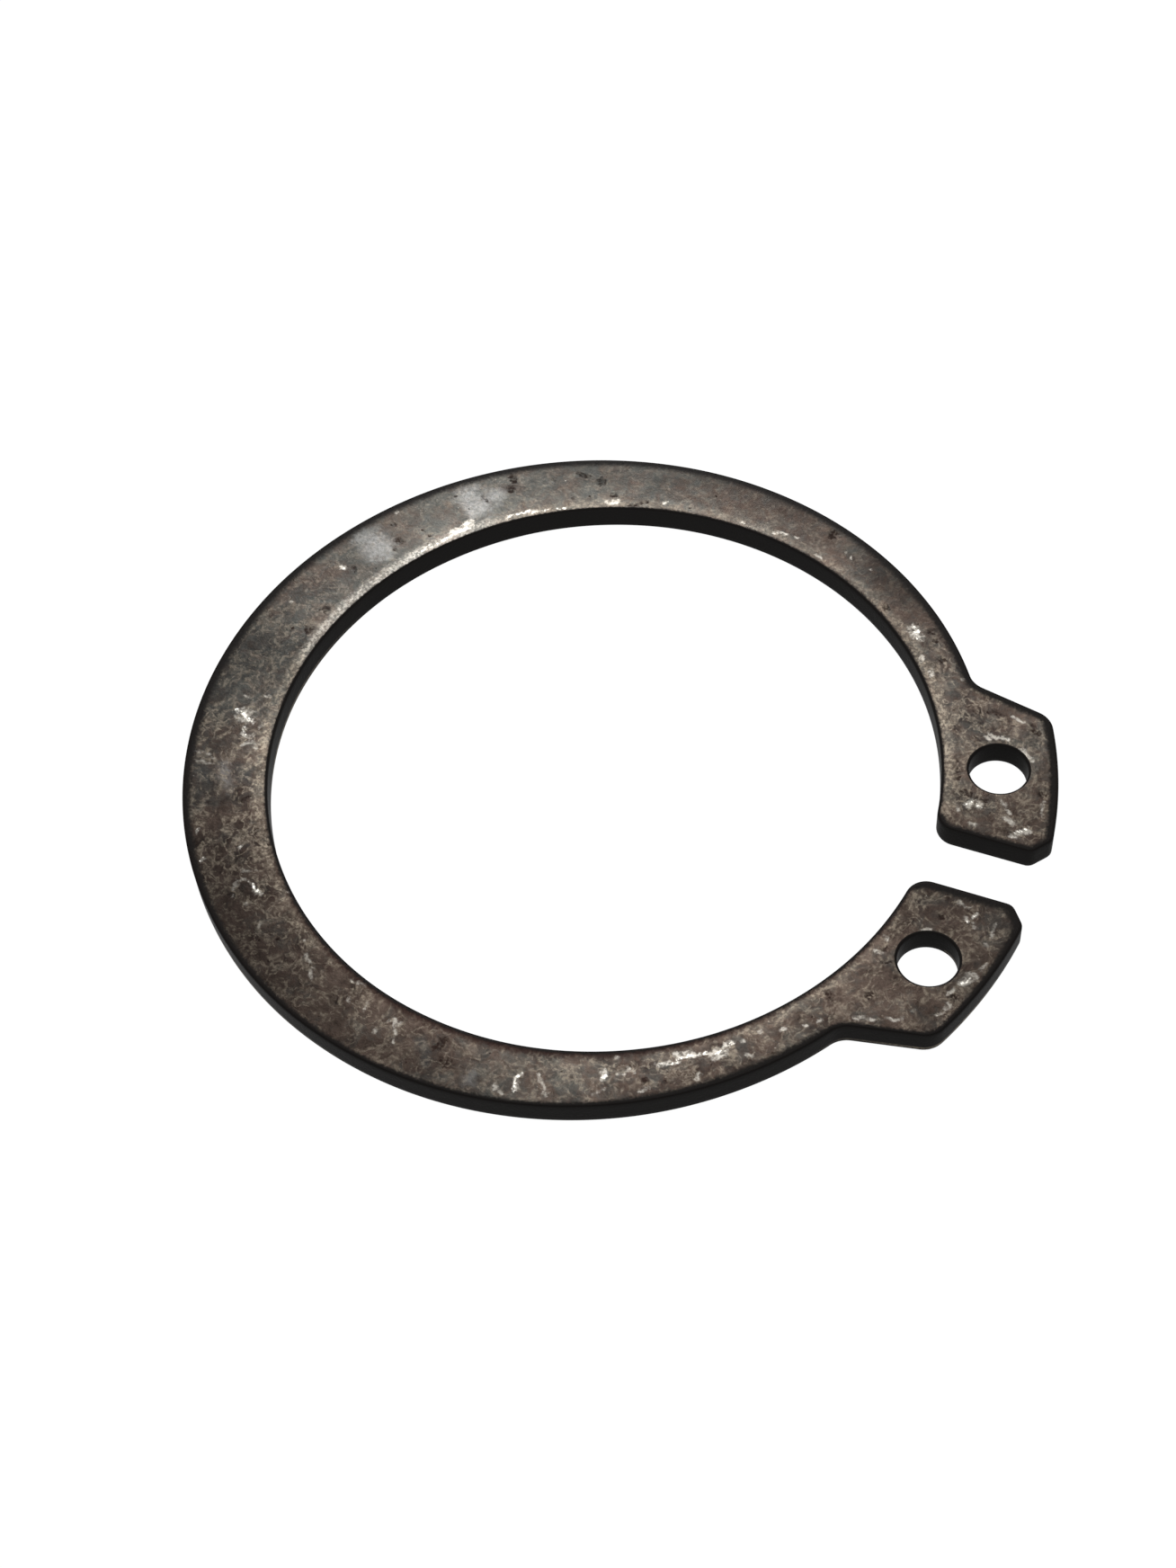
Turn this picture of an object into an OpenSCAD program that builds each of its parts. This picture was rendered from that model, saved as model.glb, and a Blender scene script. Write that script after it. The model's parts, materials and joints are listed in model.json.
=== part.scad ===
// Retaining ring for the outside of a shaft, stamped from spring steel.
// The origin is the centre of the bore on the bottom face, +Z is up, and the gap opens towards +X.

/* [Band] */
// Diameter of the bore, which clamps round the groove of the shaft
bore_d = 29.6; // [24:0.1:40]
// Thickness of the sheet
thickness = 1.2; // [0.8:0.05:1.6]
// Width of the band opposite the gap, where it is widest
back_w = 3.88; // [3.2:0.02:5]
// Width that the band would taper down to at the gap
front_w = 1.98; // [1.6:0.02:2.6]

/* [Lugs] */
// Gap between the two lugs
gap = 2.8; // [1.6:0.02:4]
// Height of a lug, from the bore to its outer edge
lug_h = 5.04; // [4.6:0.02:5.8]
// Distance of a lug's back flank from the centre of its plier hole
flank_wall = 3.7; // [3:0.02:4.4]
// Direction that a lug's back flank faces, in degrees from the middle of the gap
flank_angle = 79; // [74:0.2:86]
// Length that the cut across a lug's tip takes off its gap face
tip_cut = 0.78; // [0.5:0.02:1.2]
// Direction that the cut across a lug's tip faces, in degrees from the middle of the gap
tip_cut_angle = -38.5; // [-46:0.5:-34]

/* [Plier holes] */
// Diameter of a plier hole
hole_d = 2.55; // [1.6:0.05:3]
// Distance of a plier hole's centre from the bore's edge
hole_in = 2.48; // [2.1:0.01:3]
// Distance between the centres of the two plier holes
hole_spacing = 10.34; // [8.6:0.02:12]

/* [Corner radii] */
// Inside corner where a lug's back flank runs into the band
root_r = 1.1; // [0.8:0.05:3]
// Outer corner at the back of a lug
crown_r = 1.1; // [0.4:0.05:1.4]
// Corners at both ends of the cut across a lug's tip
tip_r = 0.5; // [0.3:0.05:0.7]
// Corner between a lug's gap face and the bore
toe_r = 0.92; // [0.4:0.02:1.2]

/* [Stamped edges] */
// Radius that the punch rolls onto the edges of the top face
roll_r = 0.13; // [0.08:0.01:0.35]
// Radius of the broken edges of the bottom face
break_r = 0.1; // [0.05:0.01:0.15]

/* [Hidden] */
$fn = 96;

// Share of its radius that an arc stands proud of the walls it joins, so that it crosses them
blend = 0.008;
// Room that waste takes beyond the plate
spare = 1;
// Depth that the web behind a root's arc reaches into the band and the lug
web_depth = 1.2;
// Share of the bore's radius at which a lug's blank starts, inside the bore and the band
lug_start = 0.75;

bore_r = bore_d/2;
band_r = bore_r + (back_w + front_w)/2;
band_c = [-(back_w - front_w)/2, 0];
lug_r = bore_r + lug_h;
hole_c = on_circle(bore_r + hole_in, hole_spacing/2);
tip_cut_d = (on_circle(lug_r, gap/2) - [tip_cut, 0])*aim(tip_cut_angle);
flank_d = hole_c*aim(flank_angle) + flank_wall;

// Unit direction at an angle
function aim(angle) = [cos(angle), sin(angle)];

// Point of a circle round the ring's axis, at the height y above the X axis
function on_circle(r, y) = [sqrt(r*r - y*y), y];

// Angle of the way from one point to another
function bearing(from, to) = atan2(to[1] - from[1], to[0] - from[0]);

// Distance of an arc's centre from the walls it joins, short of its radius by the blend
function inset(r) = r*(1 - blend);

// Point at the distance d1 along the direction a1 and d2 along a2
function meet_sides(a1, d1, a2, d2) =
    [d1*sin(a2) - d2*sin(a1), d2*cos(a1) - d1*cos(a2)]/sin(a2 - a1);

// Point at the distance d along the direction a and r from the point c, left (1) or right (-1) of it
function meet_disc(a, d, c, r, side) =
    let(far = d - c*aim(a))
    c + far*aim(a) + side*sqrt(r*r - far*far)*aim(a + 90);

// Centres of the arcs of the lug above the X axis
root_c = meet_disc(flank_angle, flank_d + inset(root_r), band_c, band_r + inset(root_r), -1);
crown_c = meet_disc(flank_angle, flank_d - inset(crown_r), [0, 0], lug_r - inset(crown_r), -1);
tip_c = meet_disc(tip_cut_angle, tip_cut_d - inset(tip_r), [0, 0], lug_r - inset(tip_r), 1);
heel_c = meet_sides(-90, -gap/2 - inset(tip_r), tip_cut_angle, tip_cut_d - inset(tip_r));
toe_c = meet_disc(-90, -gap/2 - inset(toe_r), [0, 0], bore_r + inset(toe_r), 1);

// Section of the waste round a rounded edge, whose sharp corner would be at the origin
module edge_waste(r, reach) {
    translate([-inset(r), -inset(r)]) difference() {
        square([inset(r) + reach, inset(r) + spare]);
        circle(r);
    }
}

// Section of the waste outside a wall at X = 0, where the plate lies at X below 0
module wall_waste(reach) {
    translate([0, -spare]) square([reach, thickness + 2*spare]);
    translate([0, thickness]) edge_waste(roll_r, reach);
    mirror([0, 1]) edge_waste(break_r, reach);
}

// Section of a plate whose wall is at the distance r
module plate_section(r) {
    difference() {
        square([r + spare/2, thickness]);
        translate([r, 0]) wall_waste(spare);
    }
}

// Disc with its edges rounded
module disc(r) {
    rotate_extrude() plate_section(r);
}

// Waste of a hole of radius r, cut off at the hole's axis
module hole_waste(r) {
    rotate_extrude() intersection() {
        translate([r, 0]) mirror([1, 0]) wall_waste(r + spare);
        translate([0, -2*spare]) square([r + 2*spare, thickness + 4*spare]);
    }
}

// Waste outside a corner of radius r, from one direction on
module corner_waste(r, start, sweep) {
    rotate([0, 0, start]) rotate_extrude(angle = sweep) translate([r, 0]) wall_waste(spare);
}

// Half of a plate whose straight wall is at the distance d along the direction a
module half_plate(a, d) {
    rotate([0, 0, a]) translate([0, lug_r, 0]) rotate([90, 0, 0])
        linear_extrude(height = 2*lug_r) plate_section(d);
}

// Lug above the X axis, still joined to its mirror image across the gap
module lug() {
    difference() {
        intersection() {
            disc(lug_r);
            half_plate(flank_angle, flank_d);
            half_plate(tip_cut_angle, tip_cut_d);
            translate([lug_start*bore_r, 0, 0]) cube([lug_r, lug_r, thickness]);
        }
        at(crown_c) corner_waste(crown_r, bearing([0, 0], crown_c),
                                 flank_angle - bearing([0, 0], crown_c));
        at(tip_c) corner_waste(tip_r, tip_cut_angle, bearing([0, 0], tip_c) - tip_cut_angle);
    }
}

// Web that fills the inside corner between the band and a lug's flank
module root() {
    difference() {
        linear_extrude(height = thickness) polygon([
            root_c,
            root_c + (root_r + web_depth)*aim(bearing(root_c, band_c)),
            root_c - (root_r + web_depth)*aim(flank_angle)
        ]);
        at(root_c) hole_waste(root_r);
    }
}

// Puts a shape at a point of the plan
module at(point) {
    translate([point[0], point[1], 0]) children();
}

// Both sides of the X axis
module both() {
    children();
    mirror([0, 1, 0]) children();
}

module retaining_ring() {
    color("dimgray") difference() {
        union() {
            at(band_c) disc(band_r);
            both() lug();
            both() root();
        }
        hole_waste(bore_r);
        both() at(hole_c) hole_waste(hole_d/2);
        gap_waste();
        both() at(heel_c) corner_waste(tip_r, -90, tip_cut_angle + 90);
        both() at(toe_c) corner_waste(toe_r, bearing(toe_c, [0, 0]), -90 - bearing(toe_c, [0, 0]));
    }
}

// Slot between the two lugs
module gap_waste() {
    rotate([90, 0, 90]) linear_extrude(height = 2*lug_r) {
        translate([gap/2, 0]) mirror([1, 0]) wall_waste(gap/2);
        translate([-gap/2, 0]) wall_waste(gap/2);
    }
}

retaining_ring();
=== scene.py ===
"""Worn retaining ring of spring steel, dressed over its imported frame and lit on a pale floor."""

import json
import math

import bmesh
import bpy
import numpy as np
from bpy.props import FloatProperty, FloatVectorProperty, PointerProperty
from mathutils import Matrix, Vector


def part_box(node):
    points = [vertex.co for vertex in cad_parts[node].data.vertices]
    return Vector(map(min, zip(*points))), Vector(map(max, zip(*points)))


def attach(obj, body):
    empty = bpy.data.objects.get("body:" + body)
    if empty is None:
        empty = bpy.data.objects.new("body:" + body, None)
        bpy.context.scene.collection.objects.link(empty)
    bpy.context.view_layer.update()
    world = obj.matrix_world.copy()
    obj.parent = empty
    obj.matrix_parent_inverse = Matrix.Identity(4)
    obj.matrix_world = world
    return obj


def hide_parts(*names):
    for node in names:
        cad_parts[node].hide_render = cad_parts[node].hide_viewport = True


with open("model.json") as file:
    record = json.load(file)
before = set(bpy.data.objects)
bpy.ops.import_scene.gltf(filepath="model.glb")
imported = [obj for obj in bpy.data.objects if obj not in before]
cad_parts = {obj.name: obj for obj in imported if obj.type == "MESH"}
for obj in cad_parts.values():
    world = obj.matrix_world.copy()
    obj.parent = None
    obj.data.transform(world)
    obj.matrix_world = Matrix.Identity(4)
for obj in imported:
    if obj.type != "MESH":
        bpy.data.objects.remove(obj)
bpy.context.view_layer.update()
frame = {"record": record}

bl_info = {
    "name": "Retaining ring",
    "version": (1, 0, 0),
    "blender": (4, 5, 0),
    "location": "3D View > Sidebar > Ring",
    "description": "Builds a worn retaining ring of spring steel and the stage it lies on",
    "category": "Add Mesh",
}

MM = 0.001
NODE = "retaining_ring"
BODY = "root"

NODE_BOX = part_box(NODE)
MOUNTS = {mount["name"]: mount for mount in frame["record"]["mounts"]}
SEAT = MOUNTS["shaft_groove_seat"]
PLIER_HOLE = MOUNTS["plier_hole_left"]


def length(name, description, default):
    """A property that holds a length in metres."""
    return FloatProperty(name=name, description=description, default=default, min=0.0,
                         subtype="DISTANCE", unit="LENGTH", precision=5)


def angle(name, description, degrees):
    """A property that holds an angle."""
    return FloatProperty(name=name, description=description, default=math.radians(degrees),
                         subtype="ANGLE", unit="ROTATION")


def colour(name, description, default):
    """A property that holds a linear colour."""
    return FloatVectorProperty(name=name, description=description, default=default, size=3,
                               min=0.0, max=1.0, subtype="COLOR")


def factor(name, description, default, top=1.0):
    """A property that holds a share or a strength."""
    return FloatProperty(name=name, description=description, default=default, min=0.0, max=top)


class RingSizes(bpy.types.PropertyGroup):
    """Sizes of the ring, as its source has them."""

    bore_radius: length("Bore radius", "Radius of the bore", SEAT["dims"]["r_mm"]*MM)
    thickness: length("Thickness", "Thickness of the sheet", NODE_BOX[1].z - NODE_BOX[0].z)
    back_width: length("Back width", "Width of the band opposite the gap", 3.88*MM)
    front_width: length("Front width", "Width that the band tapers down to at the gap", 1.98*MM)
    gap: length("Gap", "Gap between the two lugs", 2.8*MM)
    lug_height: length("Lug height", "Height of a lug from the bore", 5.04*MM)
    flank_wall: length("Flank wall", "Distance of a lug's flank from its hole's centre", 3.7*MM)
    flank_angle: angle("Flank angle", "Direction that a lug's flank faces", 79)
    tip_cut: length("Tip cut", "Length that the tip's cut takes off the gap face", 0.78*MM)
    tip_cut_angle: angle("Tip cut angle", "Direction that the tip's cut faces", -38.5)
    hole_radius: length("Hole radius", "Radius of a plier hole", PLIER_HOLE["dims"]["r_mm"]*MM)
    hole_x: length("Hole X", "Place of a plier hole along X", PLIER_HOLE["pos_m"][0])
    hole_y: length("Hole Y", "Place of a plier hole off the X axis", PLIER_HOLE["pos_m"][1])
    root_radius: length("Root radius", "Inside corner between the band and a lug", 1.1*MM)
    crown_radius: length("Crown radius", "Outer corner at the back of a lug", 1.1*MM)
    tip_radius: length("Tip radius", "Corners at both ends of the tip's cut", 0.5*MM)
    toe_radius: length("Toe radius", "Corner between the gap face and the bore", 0.92*MM)
    roll_radius: length("Roll radius", "Rolled edges of the top face", 0.13*MM)
    break_radius: length("Break radius", "Broken edges of the bottom face", 0.1*MM)
    cell: length("Cell", "Size of a cell of the band's mesh", 0.1*MM)
    lug_cell: length("Lug cell", "Size of a cell of a lug's mesh", 0.12*MM)


class RingFinish(bpy.types.PropertyGroup):
    """Colours and wear of the steel, with the light and shade painted into them."""

    dark_warm: colour("Dark brown", "Darkest brown of the patina", (0.0105, 0.007, 0.0056))
    light_warm: colour("Light brown", "Lightest brown of the patina", (0.0665, 0.0485, 0.039))
    dark_cool: colour("Dark grey", "Darkest grey of the patina", (0.0115, 0.0108, 0.01))
    light_cool: colour("Light grey", "Lightest grey of the patina", (0.054, 0.054, 0.049))
    grey: colour("Grey stain", "Cool grey patches where the oil dried", (0.028, 0.031, 0.031))
    brown: colour("Brown stain", "Reddish brown patches", (0.018, 0.0105, 0.0085))
    # Rubbed steel also colours the brightest of the bore's rim, which is partly wear and partly a
    # painted highlight.
    steel: colour("Rubbed steel", "Metal where the patina is rubbed off", (0.33, 0.31, 0.275))
    bright: colour("Bright steel", "Metal on the strongest marks", (0.56, 0.54, 0.49))
    # Straw also colours the bore's rim, partly wear and partly a painted highlight, and the painted
    # glint along the foot of the walls.
    straw: colour("Straw scratches", "Fine scratches and worn rims", (0.235, 0.200, 0.155))
    pale: colour("Pale scuff", "Dull pale grey of the scuffs", (0.150, 0.149, 0.145))
    # Dirt also paints shade in the black band along the bore's edge.
    dirt: colour("Dirt", "Dirt in the pits and cracks", (0.0130, 0.0060, 0.0048))
    # Edge black is painted shade on the rolled edges and along the borders of the top face.
    edge: colour("Edge black", "Oil along the edges of the top face", (0.0050, 0.0044, 0.0041))
    # Stamped wall is the walls' own dark steel, painted darker still as shade.
    wall: colour("Stamped wall", "Black oil on the stamped walls", (0.0110, 0.0104, 0.0100))
    swell: length("Swell", "Depth of the face's slow swell", 0.008*MM)
    pit_depth: length("Pit depth", "Depth of the pits and cracks", 0.03*MM)
    scuff_depth: length("Scuff depth", "Depth of the rubbed marks", 0.008*MM)
    waver: length("Waver", "How far the marks waver from straight strokes", 0.09*MM)


class RingStage(bpy.types.PropertyGroup):
    """Floor, light and camera."""

    floor: colour("Floor", "Colour of the floor, which is lit from within", (0.98, 0.98, 0.98))
    floor_size: length("Floor size", "Side of the square floor", 4.0)
    world: factor("World", "Strength of the pale surroundings", 0.34, 10.0)
    top_light: factor("Top light", "Power of the soft light overhead, in watts", 2.7, 100.0)
    top_side: length("Top light side", "Side of the square light overhead", 0.5)
    top_height: length("Top light height", "Height of the light overhead", 0.6)
    back_light: factor("Back light", "Power of the light behind the ring, in watts", 1.2, 100.0)
    back_width: length("Back light width", "Width of the light behind the ring", 0.18)
    back_height: length("Back light height", "Height of the light behind the ring", 0.12)
    back_distance: length("Back light distance", "Distance of that light from the ring", 0.5)
    back_azimuth: angle("Back light azimuth", "Direction of that light round the ring", 113)
    back_elevation: angle("Back light elevation", "Height of that light, as an angle", 40)
    beam: angle("Beam", "Angle over which both lights spread", 120)
    lens: factor("Lens", "Focal length of the camera, in millimetres", 58.93, 500.0)
    distance: length("Distance", "Distance of the camera from the point it aims at", 113.62*MM)
    azimuth: angle("Azimuth", "Direction of the camera round the ring, from +X", -64.12)
    elevation: angle("Elevation", "Height of the camera above the floor, as an angle", 53.50)
    roll: angle("Roll", "Turn of the camera about its own axis", -5.31)
    aim: FloatVectorProperty(name="Aim", description="Point on the floor that the camera aims at",
                             default=(-0.47*MM, -0.70*MM, 0.0), size=3, subtype="TRANSLATION",
                             unit="LENGTH", precision=5)


def toward(direction):
    """Unit vectors at the angles given, in the plan: (cos a, sin a)."""
    return np.stack([np.cos(direction), np.sin(direction)], -1)


def bearing(start, end):
    """Angle of the way from one point of the plan to another."""
    return math.atan2(end[1] - start[1], end[0] - start[0])


def meet_sides(first, first_at, second, second_at):
    """Point that lies first_at along one direction and second_at along another."""
    span = math.sin(second - first)
    return np.array([first_at*math.sin(second) - second_at*math.sin(first),
                     second_at*math.cos(first) - first_at*math.cos(second)])/span


def meet_disc(direction, at, centre, radius, side):
    """Point that lies at along a direction and radius from a centre, left (1) or right (-1)."""
    along = toward(direction)
    far = at - centre @ along
    across = side*math.sqrt(radius**2 - far**2)
    return centre + far*along + across*np.array([-along[1], along[0]])


def arc(centre, radius, start, end, cells, hollow=1):
    """Places and outward normals along an arc: centre + radius*(cos a, sin a), a from start to end.

    On a hollow corner (-1) the metal lies outside the arc, and the normal points to its centre.
    """
    out = toward(np.linspace(start, end, cells + 1))
    return centre + radius*out, hollow*out


def side(start, end, normal, cells):
    """Places and outward normals along a straight side from start to end."""
    share = np.linspace(0, 1, cells + 1)[:, None]
    return start + share*(end - start), np.broadcast_to(normal, (cells + 1, 2))


def chain(*parts):
    """Joins stretches of outline end to end, each starting where the last one ends."""
    places = np.concatenate([part[0][:-1] for part in parts] + [parts[-1][0][-1:]])
    normals = np.concatenate([part[1][:-1] for part in parts] + [parts[-1][1][-1:]])
    return places, normals


def resample(stretch, cells):
    """Spreads cells + 1 samples evenly along a finely sampled stretch of outline."""
    places, normals = stretch
    run = np.concatenate([[0], np.cumsum(np.hypot(*np.diff(places, axis=0).T))])
    want = np.linspace(0, run[-1], cells + 1)
    pick = [np.interp(want, run, column) for column in (*places.T, *normals.T)]
    normal = np.stack(pick[2:], -1)
    return np.stack(pick[:2], -1), normal/np.linalg.norm(normal, axis=1)[:, None]


OUTLINE_CELLS = 40


def half_outline(s):
    """Outline of the half of the ring above the X axis, as three stretches of samples.

    outer runs from the back along the band's outer arc to the middle of the root's hollow arc,
    lug goes on round the root, flank, crown, edge, tip, cut, heel, gap face and toe to the neck's
    end on the bore, and inner follows the bore from the back to that same end. Neighbours are
    tangent: each corner's centre lies its radius away from both sides that it rounds.
    """
    half_turn, quarter = math.pi, math.pi/2
    origin = np.zeros(2)
    band_radius = s.bore_radius + (s.back_width + s.front_width)/2
    band_centre = np.array([-(s.back_width - s.front_width)/2, 0.0])
    lug_radius = s.bore_radius + s.lug_height
    hole = np.array([s.hole_x, s.hole_y])
    flank, cut = s.flank_angle, s.tip_cut_angle
    corner = np.array([math.sqrt(lug_radius**2 - (s.gap/2)**2) - s.tip_cut, s.gap/2])
    flank_at = hole @ toward(flank) + s.flank_wall
    cut_at = corner @ toward(cut)

    root = meet_disc(flank, flank_at + s.root_radius, band_centre, band_radius + s.root_radius, -1)
    crown = meet_disc(flank, flank_at - s.crown_radius, origin, lug_radius - s.crown_radius, -1)
    tip = meet_disc(cut, cut_at - s.tip_radius, origin, lug_radius - s.tip_radius, 1)
    heel = meet_sides(-quarter, -s.gap/2 - s.tip_radius, cut, cut_at - s.tip_radius)
    toe = meet_disc(-quarter, -s.gap/2 - s.toe_radius, origin, s.bore_radius + s.toe_radius, 1)

    root_start = bearing(root, band_centre) + 2*half_turn
    root_end = flank + half_turn
    neck = (root_start + root_end)/2
    neck_place = root + s.root_radius*toward(neck)
    neck_angle = bearing(origin, neck_place)
    crown_end, tip_start = bearing(origin, crown), bearing(origin, tip)
    toe_end = bearing(toe, origin)

    fine = OUTLINE_CELLS
    outer = chain(arc(band_centre, band_radius, half_turn, bearing(band_centre, root), 20*fine),
                  arc(root, s.root_radius, root_start, neck, fine, -1))
    inner = arc(origin, s.bore_radius, half_turn, neck_angle, 20*fine, -1)
    lug = chain(
        arc(root, s.root_radius, neck, root_end, fine, -1),
        side(root - s.root_radius*toward(flank), crown + s.crown_radius*toward(flank),
             toward(flank), fine),
        arc(crown, s.crown_radius, flank, crown_end, fine),
        arc(origin, lug_radius, crown_end, tip_start, 2*fine),
        arc(tip, s.tip_radius, tip_start, cut, fine),
        side(tip + s.tip_radius*toward(cut), heel + s.tip_radius*toward(cut), toward(cut), fine),
        arc(heel, s.tip_radius, cut, -quarter, fine),
        side(heel - [0, s.tip_radius], toe - [0, s.toe_radius], [0.0, -1.0], fine),
        arc(toe, s.toe_radius, -quarter, toe_end, fine),
        arc(origin, s.bore_radius, toe_end + half_turn, neck_angle, 4*fine, -1))
    return outer, lug, inner


FACE_ROWS = 34
UNDER_ROWS = 4
LUG_ROWS = 28
UNDER_LUG_ROWS = 5
ROLL_ROWS = 5
WALL_ROWS = 5
BREAK_ROWS = 2
SAME_PLACE = 0.001*MM


def wall_profile(s):
    """Section of a wall from the top face down: how far in from the wall, and how high.

    The rolled edge is a quarter circle, in = r*(1 - sin a) and height = t - r*(1 - cos a), the
    wall is straight, and the broken edge is a quarter circle, in = r*(1 - cos b) and height =
    r*(1 - sin b).
    """
    a = np.linspace(0, math.pi/2, ROLL_ROWS + 1)
    b = np.linspace(0, math.pi/2, BREAK_ROWS + 1)
    high = np.linspace(s.thickness - s.roll_radius, s.break_radius, WALL_ROWS + 1)[1:-1]
    inset = np.concatenate([s.roll_radius*(1 - np.sin(a)), np.zeros(len(high)),
                            s.break_radius*(1 - np.cos(b))])
    height = np.concatenate([s.thickness - s.roll_radius*(1 - np.cos(a)), high,
                             s.break_radius*(1 - np.sin(b))])
    return inset, height


def wall_grid(stretch, profile):
    """Carries the wall's section along a stretch of outline: place - in*normal, at its height."""
    (places, normals), (inset, height) = stretch, profile
    plan = places[None] - inset[:, None, None]*normals[None]
    lift = np.broadcast_to(height[:, None, None], (*plan.shape[:2], 1))
    return np.concatenate([plan, lift], -1)


def ruled_grid(first, second, rows, height):
    """Straight rulings at one height between two curves: first + share*(second - first)."""
    share = np.linspace(0, 1, rows + 1)[:, None, None]
    plan = first[None] + share*(second - first)[None]
    return np.concatenate([plan, np.full((*plan.shape[:2], 1), height)], -1)


def inward(stretch, inset):
    """A stretch of outline moved in from the wall: place - inset*normal."""
    return stretch[0] - inset*stretch[1]


def half_patches(s):
    """Patches that close the half of the ring above the X axis, and the seam below its neck.

    The band's faces are rulings from the outer arc to the bore, a lug's faces are rulings from its
    whole outline to the rim of its hole, and the walls are one section carried along the outlines.
    Every patch is a grid whose rows cross its columns so that it faces out of the metal. The seam
    is one flat polygon, where the underside's few rows meet the neck's many.
    """
    outer, lug, inner = half_outline(s)
    band_cells = round(np.hypot(*np.diff(outer[0], axis=0).T).sum()/s.cell)
    lug_cells = round(np.hypot(*np.diff(lug[0], axis=0).T).sum()/s.lug_cell)
    outer, inner = resample(outer, band_cells), resample(inner, band_cells)
    lug = resample(lug, lug_cells)
    hole = np.array([s.hole_x, s.hole_y])

    def lug_loop(inset):
        """The lug's outline and its neck, closed, at one inset from the walls."""
        edge = inward(lug, inset)
        neck = np.linspace(inward(inner, inset)[-1], edge[0], FACE_ROWS + 1)
        return np.concatenate([edge, neck[1:]])

    top = lug_loop(s.roll_radius)
    around = toward(np.arctan2(*(top - hole).T[::-1]))
    rim = (hole + s.hole_radius*around, -around)
    face = ruled_grid(inward(outer, s.roll_radius), inward(inner, s.roll_radius), FACE_ROWS,
                      s.thickness)
    under = ruled_grid(inward(outer, s.break_radius), inward(inner, s.break_radius), UNDER_ROWS,
                       0.0)
    lug_face = ruled_grid(top, inward(rim, s.roll_radius), LUG_ROWS, s.thickness)
    loop = lug_loop(s.break_radius)
    lug_under = ruled_grid(loop, inward(rim, s.break_radius), UNDER_LUG_ROWS, 0.0)
    profile = wall_profile(s)
    patches = [wall_grid(outer, profile)[:, ::-1], wall_grid(lug, profile)[:, ::-1],
               wall_grid(inner, profile), wall_grid(rim, profile),
               face, lug_face, under[:, -2::-1], lug_under[:, ::-1]]
    seam = np.concatenate([under[:, -2], np.insert(loop[-FACE_ROWS - 1:], 2, 0.0, axis=1)])[::-1]
    return patches, seam


def closed_mesh(name, s):
    """Mesh of both halves, the lower one mirrored in the XZ plane and turned inside out again."""
    patches, seam = half_patches(s)
    flip = np.array([1.0, -1.0, 1.0])
    patches += [(patch*flip)[:, ::-1] for patch in patches]
    places, faces, start = [], [], 0
    for patch in patches:
        rows, columns = patch.shape[:2]
        number = start + np.arange(rows*columns).reshape(rows, columns)
        corners = (number[:-1, :-1], number[1:, :-1], number[1:, 1:], number[:-1, 1:])
        faces += np.stack(corners, -1).reshape(-1, 4).tolist()
        places.append(patch.reshape(-1, 3))
        start += rows*columns
    for polygon in (seam, (seam*flip)[::-1]):
        faces.append(list(range(start, start + len(polygon))))
        places.append(polygon)
        start += len(polygon)
    mesh = bpy.data.meshes.new(name)
    mesh.from_pydata(np.concatenate(places), [], faces)
    joined = bmesh.new()
    joined.from_mesh(mesh)
    bmesh.ops.remove_doubles(joined, verts=joined.verts, dist=SAME_PLACE)
    open_edges = sum(not edge.is_manifold for edge in joined.edges)
    if open_edges:
        raise RuntimeError(f"the ring's mesh has {open_edges} open edges")
    joined.to_mesh(mesh)
    joined.free()
    mesh.shade_smooth()
    return mesh


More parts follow.
